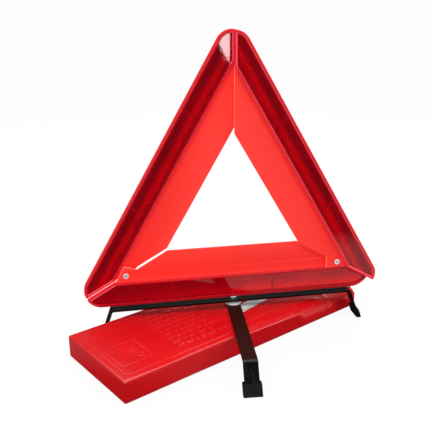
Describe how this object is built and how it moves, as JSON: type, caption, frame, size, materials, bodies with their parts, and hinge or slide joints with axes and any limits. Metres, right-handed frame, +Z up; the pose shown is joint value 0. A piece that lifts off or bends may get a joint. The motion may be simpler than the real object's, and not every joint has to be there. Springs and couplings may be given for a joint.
{
  "type": "folding warning triangle",
  "caption": "Folding roadside warning triangle of reflective arms on a crossed strip-metal stand, with its long plastic storage case lying under it.",
  "frame": {"origin": "middle of the footprint on the ground, the case and stand included", "axes": "+Z up, X along the triangle's base arm, the triangle's faces look along -Y (front) and +Y"},
  "size_m": [0.4891, 0.406, 0.4619],
  "materials": {
    "red_frame": "gloss",
    "red_lens": "moulded prismatic, gloss",
    "fluorescent_red": "satin fluorescent",
    "black_steel": "satin black paint",
    "bright_steel": "zinc plated",
    "black_rubber": "matt",
    "black_plastic": "satin",
    "red_case": "satin gloss, fine grain",
    "white_paper": "matt coated paper"
  },
  "bodies": {
    "base": {"base_channel": "red_frame", "base_lens_front": "red_lens", "base_lens_back": "red_lens", "base_plate": "fluorescent_red", "long_leg_bar": "black_steel", "rubber_foot_left": "black_rubber", "rubber_foot_right": "black_rubber", "centre_rivet": "bright_steel", "centre_spring": "bright_steel", "centre_washer": "bright_steel", "leg_rest_left": "black_plastic", "leg_rest_right": "black_plastic", "pivot_rivet_left": "bright_steel", "pivot_rivet_right": "bright_steel", "pivot_bush_left": "black_plastic", "pivot_bush_right": "black_plastic"},
    "left_arm": {"left_channel": "red_frame", "left_lens_front": "red_lens", "left_lens_back": "red_lens", "left_plate": "fluorescent_red", "apex_hook": "red_frame"},
    "right_arm": {"right_channel": "red_frame", "right_lens_front": "red_lens", "right_lens_back": "red_lens", "right_plate": "fluorescent_red", "apex_catch": "red_frame"},
    "cross_leg": {"cross_leg_bar": "black_steel", "rubber_foot_front": "black_rubber", "rubber_foot_rear": "black_rubber"},
    "case": {"case_body": "red_case", "case_label": "white_paper"},
    "case_cap": {"case_end_cap": "red_case"}
  },
  "joints": [
    {"name": "left_arm_fold", "type": "hinge", "parent": "base", "child": "left_arm", "pos_m": [-0.1546, 0.0084, 0.10125], "axis": [0, 1, 0], "range_deg": [0, 60]},
    {"name": "right_arm_fold", "type": "hinge", "parent": "base", "child": "right_arm", "pos_m": [0.1796, -0.0084, 0.10125], "axis": [0, -1, 0], "range_deg": [0, 60]},
    {"name": "cross_leg_turn", "type": "hinge", "parent": "base", "child": "cross_leg", "pos_m": [0.0125, 0, 0.0392], "axis": [0, 0, 1], "range_deg": [-15, 90]},
    {"name": "case_slide", "type": "slide", "parent": "base", "child": "case", "axis": [-0.8771, -0.4802, 0], "range_m": [0, 0.5]},
    {"name": "case_cap_pull", "type": "slide", "parent": "case", "child": "case_cap", "axis": [0.8771, 0.4802, 0], "range_m": [0, 0.06]}
  ]
}
